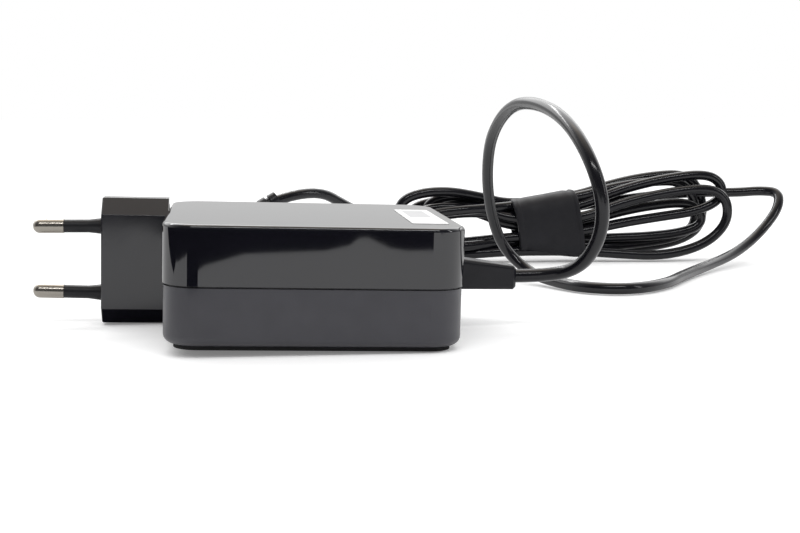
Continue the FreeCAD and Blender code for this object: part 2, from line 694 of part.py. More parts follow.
def y_capacitor():
    """Disc on edge, thinner towards its rim."""
    r, half, edge = Y_CAPACITOR_R, Y_CAPACITOR_T / 2, Y_CAPACITOR_EDGE
    disc = revolve_x([(-half, 0), (-half, r - edge), (edge - half, r), (half - edge, r), (half, r - edge),
                      (half, 0)])
    across = FreeCAD.Rotation(X_AXIS, Y_AXIS)
    disc.Placement = FreeCAD.Placement(V(*Y_CAPACITOR_SITE, FLOOR_Z + r + STAND_OFF), across)
    return disc


def transformer_core():
    """Two E halves closed on each other: outer frame and centre leg."""
    z0 = CORE_Z0
    frame = centred(CORE_X, CORE_Y, z0, CORE_W, CORE_D / 2, CORE_H)
    window_w = (CORE_W - LEG) / 2 - LEG / 2
    window_h = CORE_H - LEG
    for side in (-1, 1):
        cx = CORE_X + side * (LEG / 2 + window_w / 2)
        frame = frame.cut(centred(cx, CORE_Y, z0 + LEG / 2, window_w, CORE_D, window_h))
    return frame


def bobbin_span():
    """Bottom and top of the bobbin, inside the core's windows."""
    z0 = CORE_Z0 + LEG / 2 + BOBBIN_CLEARANCE
    return z0, CORE_Z0 + CORE_H - LEG / 2 - BOBBIN_CLEARANCE


def transformer_bobbin():
    z0, z1 = bobbin_span()
    w = CORE_W - LEG - 3 * BOBBIN_CLEARANCE
    cheeks = [centred(CORE_X, CORE_Y, z, w, CORE_D, BOBBIN_T) for z in (z0, z1 - BOBBIN_T)]
    hole_w = LEG + BOBBIN_CLEARANCE
    hole_d = CORE_D / 2 + BOBBIN_CLEARANCE
    tube = centred(CORE_X, CORE_Y, z0, hole_w + 2 * BOBBIN_WALL, hole_d + 2 * BOBBIN_WALL, z1 - z0)
    hole = centred(CORE_X, CORE_Y, z0 - 1, hole_w, hole_d, z1 - z0 + 2)
    return join(cheeks + [tube]).cut(hole)


def transformer_winding():
    z0, z1 = bobbin_span()
    z0 += BOBBIN_T + WINDING_CLEARANCE
    z1 -= BOBBIN_T + WINDING_CLEARANCE
    w = CORE_W - LEG - 2 * WINDING_SET_BACK
    wound = rounded_block(w, CORE_D - 2 * WINDING_SET_BACK, z0, z1, WINDING_R, CORE_X, CORE_Y)
    grow = BOBBIN_CLEARANCE + 2 * (BOBBIN_WALL + WINDING_CLEARANCE)
    hole = centred(CORE_X, CORE_Y, z0 - 1, LEG + grow, CORE_D / 2 + grow, z1 - z0 + 2)
    return wound.cut(hole)


def heat_sink(x, y, w, h):
    """Aluminium plate with three shallow fins on one face."""
    plate = centred(x, y, FLOOR_Z, w, SINK_T, h)
    fins = []
    for i in (-1, 0, 1):
        fin_y = y - (SINK_T + FIN_H) / 2
        fins.append(centred(x + i * w / 3.2, fin_y, FLOOR_Z + 1, FIN_T, FIN_H + 2 * COIL_CLEARANCE, h - 2))
    return join([plate] + fins)


def power_package(x, y):
    """Plastic power package with its metal tab against a heat sink."""
    z0 = FLOOR_Z + PACKAGE_STAND
    h = SINK_H - PACKAGE_STAND
    tab = centred(x, y, z0, PACKAGE_W, PACKAGE_TAB_T, h)
    tab = tab.cut(cylinder(TAB_HOLE_R, 4, V(x, y - 2, z0 + TAB_HOLE_AT * h), Y_AXIS))
    body_y = y + (PACKAGE_TAB_T + PACKAGE_BODY_T) / 2 - BITE
    return join([tab, centred(x, body_y, z0, PACKAGE_W, PACKAGE_BODY_T, PACKAGE_BODY * h)])


def package_y(sink_y):
    """Middle of a package's tab, against the back of the heat sink at sink_y."""
    return sink_y + SINK_T / 2 + COIL_CLEARANCE + PACKAGE_TAB_T / 2


def primary_heat_sink():
    return heat_sink(SINK_FRONT_X, SINK_FRONT_Y, SINK_W, SINK_H)


def primary_switch():
    return power_package(SINK_FRONT_X, package_y(SINK_FRONT_Y))


def secondary_heat_sink():
    return heat_sink(SINK_BACK_X, SINK_BACK_Y, SINK_W, SINK_H)


def secondary_rectifier():
    return power_package(SINK_BACK_X, package_y(SINK_BACK_Y))


def small_package(site, size):
    w, d, h = size
    body = centred(*site, FLOOR_Z, w, d, h)
    return body.makeChamfer(DRAFT, edges_where(body, lambda box: box.ZMin > FLOOR_Z + 0.9 * h))


def optocoupler():
    return small_package(OPTOCOUPLER_SITE, OPTOCOUPLER_SIZE)


def controller_chip():
    return small_package(CHIP_SITE, CHIP_SIZE)


def output_choke():
    """Drum core with its winding as one upright bobbin."""
    r, wire_r, cheek, h = OUTPUT_CHOKE_R, OUTPUT_CHOKE_WIRE_R, OUTPUT_CHOKE_CHEEK, OUTPUT_CHOKE_H
    drum = revolve_x([(0, 0), (0, r), (cheek, r), (cheek, wire_r), (h - cheek, wire_r), (h - cheek, r),
                      (h, r), (h, 0)])
    drum.Placement = FreeCAD.Placement(V(*OUTPUT_CHOKE_SITE, FLOOR_Z), FreeCAD.Rotation(X_AXIS, Z_AXIS))
    return drum


def heat_spreader():
    """Folded aluminium sheet under the ceiling, stopping short of the inlet."""
    z1 = SPREADER_Z0 + SPREADER_T
    half_y = BOARD_HALF_Y - SPREADER_INSET
    x0 = BOARD_NOTCH_X + SPREADER_SET_BACK
    x1 = BOARD_HALF_X - SPREADER_INSET
    top = block(x0, x1, -half_y, half_y, SPREADER_Z0, z1)
    skirt_z = SPREADER_Z0 - SKIRT_H
    skirt_len = x1 - x0 - 2 * SKIRT_SET_BACK
    skirts = []
    for side in (-1, 1):
        y = side * (half_y - SPREADER_T / 2)
        skirts.append(centred((x0 + x1) / 2, y, skirt_z, skirt_len, SPREADER_T, z1 - skirt_z))
    return join([top] + skirts)


def thermal_pad():
    h = PAD_T - 2 * PAD_CLEARANCE
    z0 = CORE_Z0 + CORE_H + PAD_CLEARANCE
    return centred(CORE_X, CORE_Y, z0, CORE_W - 4 * PAD_INSET, CORE_D / 2 - 2 * PAD_INSET, h)


def dc_leads():
    """Two insulated wires from the board to the strain relief."""
    made = []
    x1 = relief_inner_x()
    for side in (-1, 1):
        y = RELIEF_Y + side * 1.3 * LEAD_R
        foot = V(x1 - DC_LEAD_REACH, y, BOARD_Z1)
        made.append(tube_along([foot, V(foot.x, y, RELIEF_Z), V(x1, y, RELIEF_Z)], 2 * LEAD_R))
    return Part.makeCompound(made)


def ac_leads():
    """Two wires from the blades' tails to the board."""
    made = []
    x0 = INLET_X1 + BLADE_TAIL
    for z, reach in zip(blade_heights(), (AC_LEAD_REACH, AC_LEAD_REACH + 3 * AC_LEAD_R)):
        route = [V(x0, PLUG_Y, z), V(x0 + reach, PLUG_Y, z), V(x0 + reach, PLUG_Y, BOARD_Z1)]
        made.append(tube_along(route, 2 * AC_LEAD_R))
    return Part.makeCompound(made)


# ---- Strain relief ----

def square_wire(x, side, cy, cz, radius):
    """Rounded square outline in a plane across X."""
    half = side / 2
    box = Part.makeBox(1, side, side, V(x, cy - half, cz - half))
    along = edges_where(box, lambda b: b.XLength > 0.5)
    rounded = box.makeFillet(radius, along)
    face = min(rounded.Faces, key=lambda f: f.CenterOfMass.x)
    return face.OuterWire


def relief_inner_x():
    """Inner face of the flange, which lies just inside the wall."""
    return INNER_X - RELIEF_FLANGE_T - RELIEF_GROOVE_CLEARANCE


def strain_relief():
    """Moulded boot: a flange inside the case, a neck in the wall and a drooping tapered boot."""
    x_in = relief_inner_x()
    half = RELIEF_FLANGE / 2
    flange = block(x_in, x_in + RELIEF_FLANGE_T, RELIEF_Y - half, RELIEF_Y + half,
                   RELIEF_Z - half, RELIEF_Z + half)
    flange = flange.makeFillet(RELIEF_FLANGE_R, edges_where(flange, lambda box: box.XLength > 1))
    boot_x = HALF_W + RELIEF_STAND
    neck = relief_hole(0, x_in + RELIEF_FLANGE_T - BITE, boot_x)
    neck = neck.makeFillet(RELIEF_EDGE_R, edges_where(neck, lambda box: box.XLength > 1))
    boot = Part.makeLoft([square_wire(boot_x, RELIEF_ROOT, RELIEF_Y, RELIEF_Z, RELIEF_EDGE_R),
                          square_wire(HALF_W + RELIEF_LEN, RELIEF_TIP, RELIEF_Y, RELIEF_Z - RELIEF_DROOP,
                                      RELIEF_TIP_EDGE_R)], True, True)
    tip = edges_where(boot, lambda box: box.XMin > HALF_W + RELIEF_LEN - 1e-3)
    return join([flange, neck, boot.makeChamfer(RELIEF_TIP_CHAMFER, tip)])


# ---- Cord ----

def route_edges(points, radii):
    """Straight runs joined by tangent arcs, each as large as its two runs allow."""
    made = []
    start = points[0]
    for before, corner, after in zip(points, points[1:], points[2:]):
        inward = (corner - before).normalize()
        outward = (after - corner).normalize()
        half_turn = inward.getAngle(outward) / 2
        setback = 0.45 * min((corner - before).Length, (after - corner).Length)
        radii.append(setback / math.tan(half_turn))
        enter = corner - inward * setback
        leave = corner + outward * setback
        bisector = (outward - inward).normalize()
        centre = corner + bisector * (radii[-1] / math.cos(half_turn))
        middle = centre - bisector * radii[-1]
        made.append(Part.LineSegment(start, enter).toShape())
        made.append(Part.Arc(enter, middle, leave).toShape())
        start = leave
    made.append(Part.LineSegment(start, points[-1]).toShape())
    return made


def tube_along(points, diameter, radii=None):
    path = Part.Wire(route_edges(points, radii if radii is not None else []))
    first = (points[1] - points[0]).normalize()
    ring_wire = Part.Wire(Part.makeCircle(diameter / 2, points[0], first))
    return path.makePipeShell([ring_wire], True, True)


def relief_tip():
    """Middle of the boot's end, and the way it points, in the adapter's own frame."""
    tip = V(HALF_W + RELIEF_LEN, RELIEF_Y, RELIEF_Z - RELIEF_DROOP)
    return tip, V(RELIEF_LEN, 0, -RELIEF_DROOP).normalize()


def dc_cord():
    """From the strain relief round an upright loop, across the table and into the hank."""
    tip, forward = relief_tip()
    tip = lean_point(tip)
    forward = lean_vector(forward)
    radii = []
    tube = tube_along([tip - forward * CORD_BITE] + LOOP_ROUTE, CORD_D, radii)
    print("dc_cord radii", [round(r, 1) for r in radii])
    return tube


def cord_tail():
    """From the hank over a low arch to the connector, whose nose rests on the table."""
    start, forward = connector_seat()
    radii = []
    tube = tube_along(TAIL_ROUTE + [start + forward * CORD_BITE], CORD_D, radii)
    print("cord_tail radii", [round(r, 1) for r in radii])
    return tube


def hank_wire(x, z0, z1, depth, grow):
    """Eight-sided outline of the hank at one station along X, moved out by grow."""
    half = depth / 2 + grow
    cut = HANK_BEVEL * min(z1 - z0, depth) + grow * (2 - math.sqrt(2))
    top = z1 + grow
    upper = [(-half, top - cut), (cut - half, top), (half - cut, top), (half, top - cut)]
    middle = (z0 + z1) / 2
    outline = upper + [(y, 2 * middle - z) for y, z in reversed(upper)]
    corners = [V(x, HANK_Y + y, z) for y, z in outline]
    return Part.makePolygon(corners + corners[:1])


def cord_hank():
    return Part.makeLoft([hank_wire(*station, 0.0) for station in HANK_STATIONS], True, True)


def cord_strap():
    """Band round the hank's waist, as wide as the stretch between the two waist stations."""
    waist = HANK_STATIONS[WAIST:WAIST + 2]
    outer = Part.makeLoft([hank_wire(*station, STRAP_CLEARANCE + STRAP_T) for station in waist], True, True)
    inner = Part.makeLoft([hank_wire(*station, STRAP_CLEARANCE) for station in waist], True, True)
    return outer.cut(inner)


# ---- Connector ----

def connector_seat():
    """Where the connector's boot begins and the way its nose points, down to the table."""
    length = BOOT_LEN + GRIP_LEN + BARREL_LEN
    flat = V(CONNECTOR_HEADING[0], CONNECTOR_HEADING[1], 0).normalize()
    pitch = math.asin((CONNECTOR_START.z - NOSE_REST) / math.hypot(length, BARREL_R))
    pitch -= math.atan(BARREL_R / length)
    return CONNECTOR_START, V(flat.x * math.cos(pitch), flat.y * math.cos(pitch), -math.sin(pitch))


def on_connector(shape):
    start, forward = connector_seat()
    shape.Placement = FreeCAD.Placement(start, FreeCAD.Rotation(X_AXIS, forward))
    return shape


def connector_grip():
    """Overmoulded boot with flex rings, waisted grip and nose."""
    x1 = BOOT_LEN + GRIP_LEN
    outline = [(0, 0), (0, BOOT_TIP_R)]
    pitch = BOOT_LEN / BOOT_RINGS
    for i in range(BOOT_RINGS):
        xa = (i + 1) * pitch - RING_GAP
        r = BOOT_TIP_R + (BOOT_ROOT_R - BOOT_TIP_R) * xa / BOOT_LEN
        xb = xa + RING_GAP
        outline += [(xa, r), (xa, r - RING_DEPTH), (xb, r - RING_DEPTH), (xb, r + RING_STEP)]
    outline.append((BOOT_LEN + GRIP_SHOULDER / 2, GRIP_R - GRIP_SHOULDER_DROP))
    outline.append((BOOT_LEN + GRIP_SHOULDER, GRIP_R))
    for x, r in zip(GRIP_WAIST, (GRIP_R, GRIP_WAIST_R, GRIP_WAIST_R, GRIP_R)):
        outline.append((BOOT_LEN + x, r))
    outline += [(x1 - GRIP_NOSE, GRIP_R), (x1, GRIP_NOSE_R), (x1, 0)]
    body = revolve_x(outline)
    seat = cylinder(BARREL_ROOT_R + CONNECTOR_CLEARANCE, BARREL_ROOT, V(x1 - BARREL_ROOT, 0, 0), X_AXIS)
    return on_connector(body.cut(seat))


def barrel_span():
    x1 = BOOT_LEN + GRIP_LEN
    return x1 - BARREL_ROOT, x1 + BARREL_LEN


def connector_barrel():
    x0, x1 = barrel_span()
    outer = join([cylinder(BARREL_R, BARREL_LEN, V(x1 - BARREL_LEN, 0, 0), X_AXIS),
                  cylinder(BARREL_ROOT_R, BARREL_ROOT + 1, V(x0, 0, 0), X_AXIS)])
    rim = edges_where(outer, lambda box: box.XMin > x1 - 1e-3)
    bore = cylinder(BARREL_R - BARREL_WALL, x1 - x0 + 2, V(x0 - 1, 0, 0), X_AXIS)
    return on_connector(outer.makeChamfer(BARREL_CHAMFER, rim).cut(bore))


def connector_insulator():
    x0, x1 = barrel_span()
    outer_r = BARREL_R - BARREL_WALL - CONNECTOR_CLEARANCE
    return on_connector(ring(CONTACT_R, outer_r, x0, x1 - INSULATOR_SET_BACK))


def connector_contact():
    x0, x1 = barrel_span()
    outer_r = CONTACT_R - CONNECTOR_CLEARANCE
    return on_connector(ring(CONTACT_HOLE_R, outer_r, x0, x1 - 2 * INSULATOR_SET_BACK))


# ---- The pose on the table ----

def lean_angle():
    """Turn about Y that brings the inner end of the plug head's lower edge down to the table."""
    drop = PLUG_H / 2 - MID_Z
    reach = lean_pivot().x - PLUG_END_X + PLUG_EDGE_R
    return math.degrees(math.atan2(drop, reach))


def lean_pivot():
    """Right-hand bottom line of the case, at the edge of its foot."""
    return V(HALF_W - LOWER_INSET - FOOT_INSET, 0, 0)


def origin_shift():
    """Half of how much further the pin tips reach from the pivot's line than the leaning case does."""
    pivot = lean_pivot()
    lower_tip = V(PLUG_FACE_X - PIN_LEN, 0, MID_Z - PIN_PITCH_TIP / 2)
    top_edge = V(HALF_W - TOP_R, 0, CASE_H - TOP_R)
    left = pivot.x + lean_vector(lower_tip - pivot).x
    right = pivot.x + lean_vector(top_edge - pivot).x + TOP_R
    return -(left + right) / 2


def lean(shape):
    turned = shape.copy()
    turned.rotate(lean_pivot(), Y_AXIS, lean_angle())
    turned.translate(V(origin_shift(), 0, 0))
    return turned


def lean_vector(direction):
    return FreeCAD.Rotation(Y_AXIS, lean_angle()).multVec(direction)


def lean_point(point):
    pivot = lean_pivot()
    return pivot + lean_vector(point - pivot) + V(origin_shift(), 0, 0)


CASE_PIECES = [
    upper_shell, lower_shell, top_label, inlet_block, inlet_blades, ac_leads, main_board, insulation_sheet,
    fuse, x_capacitor, y_capacitor, choke_core, choke_windings, bridge_rectifier, bulk_capacitor,
    transformer_core, transformer_bobbin, transformer_winding, primary_heat_sink, primary_switch,
    secondary_heat_sink, secondary_rectifier, optocoupler, controller_chip, output_capacitors, output_choke,
    heat_spreader, thermal_pad, dc_leads, strain_relief,
]
PLUG_PIECES = [plug_housing, plug_plate, plug_pins, pin_sleeves, plug_leads, plug_contacts]
CORD_PIECES = [dc_cord, cord_hank, cord_strap, cord_tail, connector_grip, connector_barrel,
               connector_insulator, connector_contact]


def main():
    os.makedirs("parts", exist_ok=True)
    for make in CASE_PIECES + PLUG_PIECES:
        lean(make()).exportStep("parts/" + make.__name__ + ".step")
    for make in CORD_PIECES:
        make().exportStep("parts/" + make.__name__ + ".step")


main()
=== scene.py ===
import json
import math

import bmesh
import bpy
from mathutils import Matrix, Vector


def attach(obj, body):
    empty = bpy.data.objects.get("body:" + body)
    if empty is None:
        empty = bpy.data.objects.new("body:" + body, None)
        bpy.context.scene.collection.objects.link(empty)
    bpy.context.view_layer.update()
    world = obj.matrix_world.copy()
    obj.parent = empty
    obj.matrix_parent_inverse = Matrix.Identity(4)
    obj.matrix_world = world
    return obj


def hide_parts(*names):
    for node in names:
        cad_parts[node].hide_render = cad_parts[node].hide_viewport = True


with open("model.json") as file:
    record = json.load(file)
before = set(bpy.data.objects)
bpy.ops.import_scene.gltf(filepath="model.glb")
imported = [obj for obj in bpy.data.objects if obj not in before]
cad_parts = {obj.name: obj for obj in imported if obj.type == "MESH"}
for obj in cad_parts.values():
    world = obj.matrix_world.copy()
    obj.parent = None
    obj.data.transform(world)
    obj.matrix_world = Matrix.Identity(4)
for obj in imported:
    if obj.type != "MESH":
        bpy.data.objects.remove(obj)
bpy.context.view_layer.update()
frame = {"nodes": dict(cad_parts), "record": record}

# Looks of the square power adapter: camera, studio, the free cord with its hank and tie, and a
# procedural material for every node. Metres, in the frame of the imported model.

NODES = frame["nodes"]


# ---- Camera ----

CAMERA_AT = (-0.0011, -0.3742, 0.0642)
CAMERA_YAW = math.radians(6.82)       # to the right of +Y
CAMERA_PITCH = math.radians(7.10)     # below the horizon
LENS_MM = 63.0


def add_camera():
    data = bpy.data.cameras.new("camera")
    data.lens = LENS_MM
    data.sensor_width = 36.0
    data.clip_start = 0.01
    camera = bpy.data.objects.new("camera", data)
    camera.location = CAMERA_AT
    camera.rotation_euler = (math.pi / 2 - CAMERA_PITCH, 0.0, -CAMERA_YAW)
    bpy.context.collection.objects.link(camera)
    bpy.context.scene.camera = camera


# ---- Small helpers ----

def new_object(name, data):
    made = bpy.data.objects.new(name, data)
    bpy.context.collection.objects.link(made)
    return made


def mesh_object(name, bm, smooth=True):
    mesh = bpy.data.meshes.new(name)
    bm.to_mesh(mesh)
    bm.free()
    for face in mesh.polygons:
        face.use_smooth = smooth
    return new_object(name, mesh)


def lerp(a, b, share):
    return a + (b - a) * share


# ---- Free cord ----

CORD_D = 0.0037
CORD_START = (0.0721, 0.0, 0.01426)
LOOP_ROUTE = [
    (0.0852, -0.0025, 0.0143), (0.092, -0.010, 0.018), (0.0946, -0.0175, 0.0265), (0.0943, -0.0208, 0.036),
    (0.0917, -0.018, 0.0465), (0.0889, -0.005, 0.056), (0.0862, 0.017, 0.061), (0.0826, 0.042, 0.061),
    (0.0804, 0.064, 0.0515), (0.0814, 0.0775, 0.038), (0.0848, 0.088, 0.024), (0.090, 0.093, 0.0115),
    (0.0985, 0.0875, 0.0032), (0.1045, 0.0735, 0.002), (0.1105, 0.0605, 0.002), (0.1235, 0.0545, 0.002),
    (0.1385, 0.065, 0.002), (0.1515, 0.086, 0.002), (0.1665, 0.107, 0.0022), (0.1815, 0.1225, 0.004),
    (0.192, 0.131, 0.008), (0.200, 0.136, 0.0136), (0.2063, 0.1395, 0.0204), (0.2084, 0.145, 0.0258),
    (0.2025, 0.1495, 0.0262), (0.1935, 0.151, 0.0254)]
TAIL_ROUTE = [
    (0.068, 0.148, 0.016), (0.055, 0.1445, 0.015), (0.0415, 0.1375, 0.022), (0.0275, 0.1275, 0.0305),
    (0.0120, 0.1215, 0.0254)]

TIE_X = (0.1045, 0.1295)              # where the cord enters and leaves the tie
LANES = (0.1440, 0.1480, 0.1520)      # depth of the three columns of cord inside the tie

HANK_IN = [(0.1780, 0.1520, 0.0256), (0.1540, 0.1520, 0.0240)]     # from the far fold to the tie
HANK_OUT = (0.0860, 0.1480, 0.0195)                                # from the tie to the tail

# Each pass through the tie: its column, and its height at the tie's left and right ends.
ENTRY_PASS = (2, 0.0175, 0.0203)
# Each turn: the pass out to the right, the pass back to the left, then its loops. A loop has its
# furthest x, the height there, its highest and lowest line and its depth.
TURNS = [
    {"out": (2, 0.0042, 0.0045), "back": (2, 0.0214, 0.0244),
     "left": (0.0715, 0.0160, 0.0250, 0.0045, 0.1535), "right": (0.1805, 0.0160, 0.0337, 0.0042, 0.1525)},
    {"out": (0, 0.0045, 0.0042), "back": (0, 0.0160, 0.0162),
     "left": (0.0605, 0.0165, 0.0273, 0.0024, 0.1490), "right": (0.1868, 0.0190, 0.0286, 0.0021, 0.1415)},
    {"out": (1, 0.0041, 0.0042), "back": (1, 0.0212, 0.0243),
     "left": (0.0660, 0.0150, 0.0230, 0.0050, 0.1560), "right": (0.1770, 0.0150, 0.0312, 0.0062, 0.1500)},
    {"out": (1, 0.0080, 0.0082), "back": (1, 0.0130, 0.0135),
     "left": (0.0700, 0.0130, 0.0202, 0.0062, 0.1440), "right": (0.1785, 0.0150, 0.0226, 0.0090, 0.1475)},
    {"out": (0, 0.0098, 0.0112), "back": (1, 0.0172, 0.0204),
     "left": (0.0670, 0.0140, 0.0212, 0.0070, 0.1510), "right": (0.1855, 0.0262, 0.0337, 0.0168, 0.1450)},
]


def left_loop(arriving, leaving, loop):
    """From one pass round the left-hand end of the hank to the next."""
    end_x, end_z, top, bottom, depth = loop
    z_in, z_out = arriving[1], leaving[1]
    y_in, y_out = LANES[arriving[0]], LANES[leaving[0]]
    return [
        (lerp(TIE_X[0], end_x, 0.30), lerp(y_in, depth, 0.5), lerp(z_in, top, 0.62)),
        (lerp(TIE_X[0], end_x, 0.60), depth, top),
        (lerp(TIE_X[0], end_x, 0.88), depth, lerp(top, end_z, 0.14)),
        (end_x, depth, lerp(top, end_z, 0.55)),
        (end_x, depth, lerp(bottom, end_z, 0.55)),
        (lerp(TIE_X[0], end_x, 0.88), depth, lerp(bottom, end_z, 0.14)),
        (lerp(TIE_X[0], end_x, 0.60), depth, bottom),
        (lerp(TIE_X[0], end_x, 0.30), lerp(y_out, depth, 0.5), lerp(z_out, bottom, 0.5)),
    ]


def right_loop(arriving, leaving, loop):
    """From one pass round the right-hand end of the hank to the next."""
    end_x, end_z, top, bottom, depth = loop
    z_in, z_out = arriving[2], leaving[2]
    y_in, y_out = LANES[arriving[0]], LANES[leaving[0]]
    return [
        (lerp(TIE_X[1], end_x, 0.28), lerp(y_in, depth, 0.5), lerp(z_in, bottom, 0.6)),
        (lerp(TIE_X[1], end_x, 0.56), depth, bottom),
        (lerp(TIE_X[1], end_x, 0.84), depth, lerp(bottom, end_z, 0.22)),
        (end_x, depth, lerp(bottom, end_z, 0.70)),
        (end_x, depth, lerp(top, end_z, 0.55)),
        (lerp(TIE_X[1], end_x, 0.88), depth, lerp(top, end_z, 0.05)),
        (lerp(TIE_X[1], end_x, 0.58), depth, lerp(top, z_out, 0.18)),
        (lerp(TIE_X[1], end_x, 0.28), lerp(y_out, depth, 0.5), lerp(z_out, top, 0.50)),
    ]


def through_tie(crossing, ends):
    """The two points of a pass, at the tie's ends in the order in which the cord meets them."""
    lane, left_z, right_z = crossing
    heights = {0: left_z, 1: right_z}
    return [(TIE_X[end], LANES[lane], heights[end]) for end in ends]


def hank_points():
    points = list(HANK_IN)
    points += through_tie(ENTRY_PASS, (1, 0))
    arriving = ENTRY_PASS
    for turn in TURNS:
        points += left_loop(arriving, turn["out"], turn["left"])
        points += through_tie(turn["out"], (0, 1))
        points += right_loop(turn["out"], turn["back"], turn["right"])
        points += through_tie(turn["back"], (1, 0))
        arriving = turn["back"]
    return points + [HANK_OUT]


def nurbs_curve(name, points, radius):
    data = bpy.data.curves.new(name, "CURVE")
    data.dimensions = "3D"
    data.resolution_u = 8
    data.bevel_depth = 1.0                # scaled by each point's radius
    data.bevel_resolution = 5
    data.use_fill_caps = True
    spline = data.splines.new("NURBS")
    spline.points.add(len(points) - 1)
    for point, place in zip(spline.points, points):
        point.co = (*place, 1.0)
        point.radius = radius
    spline.order_u = 3
    spline.use_endpoint_u = True
    return new_object(name, data)


def add_cord():
    route = [CORD_START] + LOOP_ROUTE + hank_points() + TAIL_ROUTE
    return nurbs_curve("output_cord", route, CORD_D / 2)


# ---- Tie round the hank ----

TIE_CENTRE_Y = 0.148
TIE_THICKNESS = 0.0016
TIE_LEAN = 0.16                       # the ends lean: x grows this much for each metre downwards
# Along the tie: x, lowest and highest point of the outside, and depth.
TIE_STATIONS = [(0.1052, 0.0044, 0.0230, 0.0165), (0.1105, 0.0034, 0.0244, 0.0175),
                (0.1180, 0.0024, 0.0256, 0.0180), (0.1260, 0.0016, 0.0270, 0.0180),
                (0.1298, 0.0016, 0.0268, 0.0172)]
TIE_ROUNDING = 0.66                   # 1 is an ellipse, 0 a rectangle
TIE_RIM = 0.0007                      # how far the rims at both ends stand proud
TIE_RIM_W = 0.0022
TIE_RIM_FADE = 0.0006
TIE_ROWS = 26
TIE_SIDES = 56


def along_tie(share):
    """x, lowest, highest and depth at a share of the tie's length."""
    place = share * (len(TIE_STATIONS) - 1)
    index = min(int(place), len(TIE_STATIONS) - 2)
    return [lerp(a, b, place - index) for a, b in zip(TIE_STATIONS[index], TIE_STATIONS[index + 1])]


def tie_ring(share, inset):
    """Rounded oblong outline of the tie at one place, moved in by an inset."""
    x, low, high, depth = along_tie(share)
    half_h = (high - low) / 2 - inset
    half_d = depth / 2 - inset
    middle = (high + low) / 2
    points = []
    for i in range(TIE_SIDES):
        turn = 2 * math.pi * i / TIE_SIDES
        across = math.copysign(abs(math.cos(turn)) ** TIE_ROUNDING, math.cos(turn)) * half_d
        up = math.copysign(abs(math.sin(turn)) ** TIE_ROUNDING, math.sin(turn)) * half_h
        points.append(Vector((x - TIE_LEAN * up, TIE_CENTRE_Y + across, middle + up)))
    return points


def rim_height(share):
    """The tie's rims, rounded over at its very ends."""
    edge = min(share, 1 - share) * (TIE_STATIONS[-1][0] - TIE_STATIONS[0][0])
    if edge < TIE_RIM:
        return TIE_RIM * (math.sqrt(max(0.0, 1 - (1 - edge / TIE_RIM) ** 2)) - 0.3)
    return TIE_RIM * max(0.0, 1 - max(0.0, edge - TIE_RIM_W) / TIE_RIM_FADE) * 0.7


def bridge_rings(bm, rings):
    for below, above in zip(rings, rings[1:] + rings[:1]):
        for i in range(len(below)):
            j = (i + 1) % len(below)
            bm.faces.new((below[i], below[j], above[j], above[i]))


def add_tie():
    bm = bmesh.new()
    shares = sorted({0.0, 0.008, 0.02, 0.04, 0.07, 0.1, 0.9, 0.93, 0.96, 0.98, 0.992, 1.0}
                    | {i / TIE_ROWS for i in range(3, TIE_ROWS - 2)})
    outside = [tie_ring(share, -rim_height(share)) for share in shares]
    inside = [tie_ring(share, TIE_THICKNESS) for share in reversed(shares)]
    rings = [[bm.verts.new(point) for point in ring] for ring in outside + inside]
    bridge_rings(bm, rings)
    bmesh.ops.recalc_face_normals(bm, faces=bm.faces)
    return mesh_object("hank_tie", bm)


add_camera()
cord = add_cord()
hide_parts("dc_cord", "cord_hank", "cord_tail")
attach(cord, "adapter")

tie = add_tie()
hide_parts("cord_strap")
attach(tie, "adapter")


# ---- Materials ----

NOISE_SPAN = (0.25, 0.75)             # where nearly all of a noise's values lie
TONE_STOPS = (0.3, 0.7)               # noise at which the dark and the light tone are reached
BROAD_SCALE = 60.0                    # slow changes of colour over a surface
WEAR_SCALE = 220.0                    # changes of gloss
SCRATCH_DIRECTION = 0.7               # radians about Y
SCRATCH_DEPTH = 0.0000015
SCRATCH_STRETCH = 22.0
SCRATCH_SCALE = 120.0
SCRATCH_THRESHOLD = (0.60, 0.70)      # where a scratch begins and is fully deep
SMUDGE_SCALE = 90.0
SMUDGE_ROUGHNESS = (0.05, 0.13)
PANEL_GREY = (0.45, 0.45, 0.46)
PANEL_SPAN = ((0.18, 0.80), (0.42, 0.90))      # across and along the label, as shares
BASE_NORMAL = (0.02744, 0.0, 0.99962)          # square to the face that the case stands on
BASE_AT = 0.00145
FOOT_H = 0.0011
FOOT_EDGE = 0.0001                    # half the width of the change at the foot's top
# painted shade: the near-black foot colour stands in for the shadow under the case
FOOT_SHADE_COLOUR = (0.002, 0.002, 0.003)
FOOT_ROUGHNESS = 0.95


def new_material(name):
    material = bpy.data.materials.new(name)
    material.use_nodes = True
    tree = material.node_tree
    return material, tree, tree.nodes["Principled BSDF"]


def add_node(tree, kind, **values):
    node = tree.nodes.new(kind)
    for key, value in values.items():
        setattr(node, key, value)
    return node


def map_range(tree, value, start, end, low, high, **values):
    """Carries a value from the range start to end to the range low to high."""
    made = add_node(tree, "ShaderNodeMapRange", **values)
    for socket, number in zip(("From Min", "From Max", "To Min", "To Max"), (start, end, low, high)):
        made.inputs[socket].default_value = number
    tree.links.new(value, made.inputs["Value"])
    return made.outputs["Result"]


def noise(tree, scale, detail=3.0):
    place = add_node(tree, "ShaderNodeTexCoord")
    made = add_node(tree, "ShaderNodeTexNoise")
    made.inputs["Scale"].default_value = scale
    made.inputs["Detail"].default_value = detail
    tree.links.new(place.outputs["Object"], made.inputs["Vector"])
    return made.outputs["Fac"]


def spread(tree, value, low, high):
    """Carries a noise to the range low to high."""
    return map_range(tree, value, *NOISE_SPAN, low, high)


def bump(tree, shader, height, distance):
    made = add_node(tree, "ShaderNodeBump")
    made.inputs["Distance"].default_value = distance
    tree.links.new(height, made.inputs["Height"])
    tree.links.new(made.outputs["Normal"], shader.inputs["Normal"])


